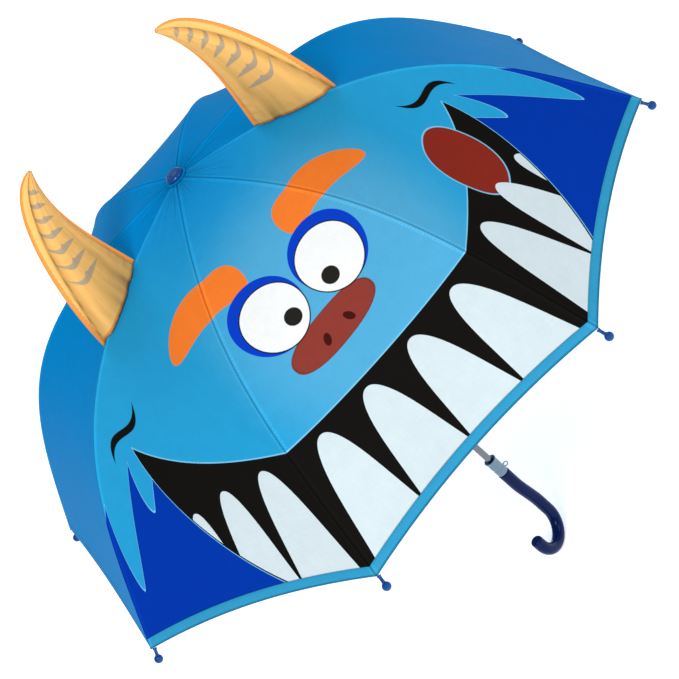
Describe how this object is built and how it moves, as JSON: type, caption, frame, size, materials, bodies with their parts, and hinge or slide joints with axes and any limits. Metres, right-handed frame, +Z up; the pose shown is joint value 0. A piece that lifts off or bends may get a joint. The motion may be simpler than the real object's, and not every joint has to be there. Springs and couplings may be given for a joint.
{
  "type": "children's umbrella",
  "caption": "Small domed umbrella with a crook handle, folding ribs worked by a sliding runner, and padded horns standing on its canopy.",
  "frame": {"origin": "on the shaft's axis, at the middle of the straight hand grip, 30 mm below the collar", "axes": "+Z up the shaft to the crown; -Y is the front, the middle of the panel between the horns"},
  "size_m": [0.6786, 0.6786, 0.7057],
  "materials": {
    "chrome": "polished, plated tube",
    "spring_steel": "bright drawn wire and strip",
    "rib_steel": "bright zinc-plated channel",
    "black_plastic": "moulded, satin",
    "navy_plastic": "moulded, high gloss",
    "blue_plastic": "moulded, gloss",
    "grey_plastic": "moulded, slightly translucent",
    "canopy_cloth": "printed plain-weave polyester, light sheen",
    "horn_cloth": "printed plain-weave polyester over thin padding"
  },
  "bodies": {
    "shaft_and_handle": {"shaft": "chrome", "handle": "navy_plastic", "collar": "grey_plastic", "crown_cap": "blue_plastic", "crown_washer": "canopy_cloth", "top_notch": "black_plastic", "notch_wire": "spring_steel"},
    "runner": {"runner": "black_plastic", "runner_wire": "spring_steel"},
    "top_catch": {"top_catch": "spring_steel"},
    "bottom_catch": {"bottom_catch": "spring_steel"},
    "inner_1": {"inner_rib_1": "rib_steel", "canopy_panel_1": "canopy_cloth"},
    "outer_1": {"outer_rib_1": "rib_steel", "rib_tip_1": "blue_plastic"},
    "strut_1": {"stretcher_1": "rib_steel"},
    "inner_2": {"inner_rib_2": "rib_steel", "canopy_panel_2": "canopy_cloth"},
    "outer_2": {"outer_rib_2": "rib_steel", "rib_tip_2": "blue_plastic"},
    "strut_2": {"stretcher_2": "rib_steel"},
    "inner_3": {"inner_rib_3": "rib_steel", "canopy_panel_3": "canopy_cloth"},
    "outer_3": {"outer_rib_3": "rib_steel", "rib_tip_3": "blue_plastic"},
    "strut_3": {"stretcher_3": "rib_steel"},
    "inner_4": {"inner_rib_4": "rib_steel", "canopy_panel_4": "canopy_cloth"},
    "outer_4": {"outer_rib_4": "rib_steel", "rib_tip_4": "blue_plastic"},
    "strut_4": {"stretcher_4": "rib_steel"},
    "inner_5": {"inner_rib_5": "rib_steel", "canopy_panel_5": "canopy_cloth", "horn_left": "horn_cloth"},
    "outer_5": {"outer_rib_5": "rib_steel", "rib_tip_5": "blue_plastic"},
    "strut_5": {"stretcher_5": "rib_steel"},
    "inner_6": {"inner_rib_6": "rib_steel", "canopy_panel_6": "canopy_cloth"},
    "outer_6": {"outer_rib_6": "rib_steel", "rib_tip_6": "blue_plastic"},
    "strut_6": {"stretcher_6": "rib_steel"},
    "inner_7": {"inner_rib_7": "rib_steel", "canopy_panel_7": "canopy_cloth"},
    "outer_7": {"outer_rib_7": "rib_steel", "rib_tip_7": "blue_plastic"},
    "strut_7": {"stretcher_7": "rib_steel"},
    "inner_8": {"inner_rib_8": "rib_steel", "canopy_panel_8": "canopy_cloth", "horn_right": "horn_cloth"},
    "outer_8": {"outer_rib_8": "rib_steel", "rib_tip_8": "blue_plastic"},
    "strut_8": {"stretcher_8": "rib_steel"}
  },
  "joints": [
    {"name": "runner_slide", "type": "slide", "parent": "shaft_and_handle", "child": "runner", "axis": [0, 0, 1], "range_m": [-0.2581, 0], "deforming": ["canopy_panel_1", "canopy_panel_2", "canopy_panel_3", "canopy_panel_4", "canopy_panel_5", "canopy_panel_6", "canopy_panel_7", "canopy_panel_8"]},
    {"name": "inner_fold_1", "type": "hinge", "parent": "shaft_and_handle", "child": "inner_1", "pos_m": [0.00739, 0.00306, 0.5052], "axis": [-0.3827, 0.9239, 0], "range_deg": [0, 74.9]},
    {"name": "outer_flex_1", "type": "hinge", "parent": "inner_1", "child": "outer_1", "pos_m": [0.18096, 0.07496, 0.4649], "axis": [-0.3827, 0.9239, 0], "range_deg": [-34.4, 0]},
    {"name": "strut_turn_1", "type": "hinge", "parent": "inner_1", "child": "strut_1", "pos_m": [0.18096, 0.07496, 0.4649], "axis": [-0.3827, 0.9239, 0], "range_deg": [-131.8, 0]},
    {"name": "inner_fold_2", "type": "hinge", "parent": "shaft_and_handle", "child": "inner_2", "pos_m": [0.00306, 0.00739, 0.5052], "axis": [-0.9239, 0.3827, 0], "range_deg": [0, 74.9]},
    {"name": "outer_flex_2", "type": "hinge", "parent": "inner_2", "child": "outer_2", "pos_m": [0.07496, 0.18096, 0.4649], "axis": [-0.9239, 0.3827, 0], "range_deg": [-34.4, 0]},
    {"name": "strut_turn_2", "type": "hinge", "parent": "inner_2", "child": "strut_2", "pos_m": [0.07496, 0.18096, 0.4649], "axis": [-0.9239, 0.3827, 0], "range_deg": [-131.8, 0]},
    {"name": "inner_fold_3", "type": "hinge", "parent": "shaft_and_handle", "child": "inner_3", "pos_m": [-0.00306, 0.00739, 0.5052], "axis": [-0.9239, -0.3827, 0], "range_deg": [0, 74.9]},
    {"name": "outer_flex_3", "type": "hinge", "parent": "inner_3", "child": "outer_3", "pos_m": [-0.07496, 0.18096, 0.4649], "axis": [-0.9239, -0.3827, 0], "range_deg": [-34.4, 0]},
    {"name": "strut_turn_3", "type": "hinge", "parent": "inner_3", "child": "strut_3", "pos_m": [-0.07496, 0.18096, 0.4649], "axis": [-0.9239, -0.3827, 0], "range_deg": [-131.8, 0]},
    {"name": "inner_fold_4", "type": "hinge", "parent": "shaft_and_handle", "child": "inner_4", "pos_m": [-0.00739, 0.00306, 0.5052], "axis": [-0.3827, -0.9239, 0], "range_deg": [0, 74.9]},
    {"name": "outer_flex_4", "type": "hinge", "parent": "inner_4", "child": "outer_4", "pos_m": [-0.18096, 0.07496, 0.4649], "axis": [-0.3827, -0.9239, 0], "range_deg": [-34.4, 0]},
    {"name": "strut_turn_4", "type": "hinge", "parent": "inner_4", "child": "strut_4", "pos_m": [-0.18096, 0.07496, 0.4649], "axis": [-0.3827, -0.9239, 0], "range_deg": [-131.8, 0]},
    {"name": "inner_fold_5", "type": "hinge", "parent": "shaft_and_handle", "child": "inner_5", "pos_m": [-0.00739, -0.00306, 0.5052], "axis": [0.3827, -0.9239, 0], "range_deg": [0, 74.9]},
    {"name": "outer_flex_5", "type": "hinge", "parent": "inner_5", "child": "outer_5", "pos_m": [-0.18096, -0.07496, 0.4649], "axis": [0.3827, -0.9239, 0], "range_deg": [-34.4, 0]},
    {"name": "strut_turn_5", "type": "hinge", "parent": "inner_5", "child": "strut_5", "pos_m": [-0.18096, -0.07496, 0.4649], "axis": [0.3827, -0.9239, 0], "range_deg": [-131.8, 0]},
    {"name": "inner_fold_6", "type": "hinge", "parent": "shaft_and_handle", "child": "inner_6", "pos_m": [-0.00306, -0.00739, 0.5052], "axis": [0.9239, -0.3827, 0], "range_deg": [0, 74.9]},
    {"name": "outer_flex_6", "type": "hinge", "parent": "inner_6", "child": "outer_6", "pos_m": [-0.07496, -0.18096, 0.4649], "axis": [0.9239, -0.3827, 0], "range_deg": [-34.4, 0]},
    {"name": "strut_turn_6", "type": "hinge", "parent": "inner_6", "child": "strut_6", "pos_m": [-0.07496, -0.18096, 0.4649], "axis": [0.9239, -0.3827, 0], "range_deg": [-131.8, 0]},
    {"name": "inner_fold_7", "type": "hinge", "parent": "shaft_and_handle", "child": "inner_7", "pos_m": [0.00306, -0.00739, 0.5052], "axis": [0.9239, 0.3827, 0], "range_deg": [0, 74.9]},
    {"name": "outer_flex_7", "type": "hinge", "parent": "inner_7", "child": "outer_7", "pos_m": [0.07496, -0.18096, 0.4649], "axis": [0.9239, 0.3827, 0], "range_deg": [-34.4, 0]},
    {"name": "strut_turn_7", "type": "hinge", "parent": "inner_7", "child": "strut_7", "pos_m": [0.07496, -0.18096, 0.4649], "axis": [0.9239, 0.3827, 0], "range_deg": [-131.8, 0]},
    {"name": "inner_fold_8", "type": "hinge", "parent": "shaft_and_handle", "child": "inner_8", "pos_m": [0.00739, -0.00306, 0.5052], "axis": [0.3827, 0.9239, 0], "range_deg": [0, 74.9]},
    {"name": "outer_flex_8", "type": "hinge", "parent": "inner_8", "child": "outer_8", "pos_m": [0.18096, -0.07496, 0.4649], "axis": [0.3827, 0.9239, 0], "range_deg": [-34.4, 0]},
    {"name": "strut_turn_8", "type": "hinge", "parent": "inner_8", "child": "strut_8", "pos_m": [0.18096, -0.07496, 0.4649], "axis": [0.3827, 0.9239, 0], "range_deg": [-131.8, 0]},
    {"name": "top_catch_press", "type": "slide", "parent": "shaft_and_handle", "child": "top_catch", "axis": [-1, 0, 0], "range_m": [0, 0.0023], "stiffness_N_per_m": 800},
    {"name": "bottom_catch_press", "type": "slide", "parent": "shaft_and_handle", "child": "bottom_catch", "axis": [-1, 0, 0], "range_m": [0, 0.0023], "stiffness_N_per_m": 800}
  ],
  "couplings": [
    {"joint": "inner_fold_1", "follows": "runner_slide", "rad_per_m": -5.0555},
    {"joint": "outer_flex_1", "follows": "runner_slide", "rad_per_m": 2.319},
    {"joint": "strut_turn_1", "follows": "runner_slide", "rad_per_m": 8.9076},
    {"joint": "inner_fold_2", "follows": "runner_slide", "rad_per_m": -5.0555},
    {"joint": "outer_flex_2", "follows": "runner_slide", "rad_per_m": 2.319},
    {"joint": "strut_turn_2", "follows": "runner_slide", "rad_per_m": 8.9076},
    {"joint": "inner_fold_3", "follows": "runner_slide", "rad_per_m": -5.0555},
    {"joint": "outer_flex_3", "follows": "runner_slide", "rad_per_m": 2.319},
    {"joint": "strut_turn_3", "follows": "runner_slide", "rad_per_m": 8.9076},
    {"joint": "inner_fold_4", "follows": "runner_slide", "rad_per_m": -5.0555},
    {"joint": "outer_flex_4", "follows": "runner_slide", "rad_per_m": 2.319},
    {"joint": "strut_turn_4", "follows": "runner_slide", "rad_per_m": 8.9076},
    {"joint": "inner_fold_5", "follows": "runner_slide", "rad_per_m": -5.0555},
    {"joint": "outer_flex_5", "follows": "runner_slide", "rad_per_m": 2.319},
    {"joint": "strut_turn_5", "follows": "runner_slide", "rad_per_m": 8.9076},
    {"joint": "inner_fold_6", "follows": "runner_slide", "rad_per_m": -5.0555},
    {"joint": "outer_flex_6", "follows": "runner_slide", "rad_per_m": 2.319},
    {"joint": "strut_turn_6", "follows": "runner_slide", "rad_per_m": 8.9076},
    {"joint": "inner_fold_7", "follows": "runner_slide", "rad_per_m": -5.0555},
    {"joint": "outer_flex_7", "follows": "runner_slide", "rad_per_m": 2.319},
    {"joint": "strut_turn_7", "follows": "runner_slide", "rad_per_m": 8.9076},
    {"joint": "inner_fold_8", "follows": "runner_slide", "rad_per_m": -5.0555},
    {"joint": "outer_flex_8", "follows": "runner_slide", "rad_per_m": 2.319},
    {"joint": "strut_turn_8", "follows": "runner_slide", "rad_per_m": 8.9076}
  ]
}
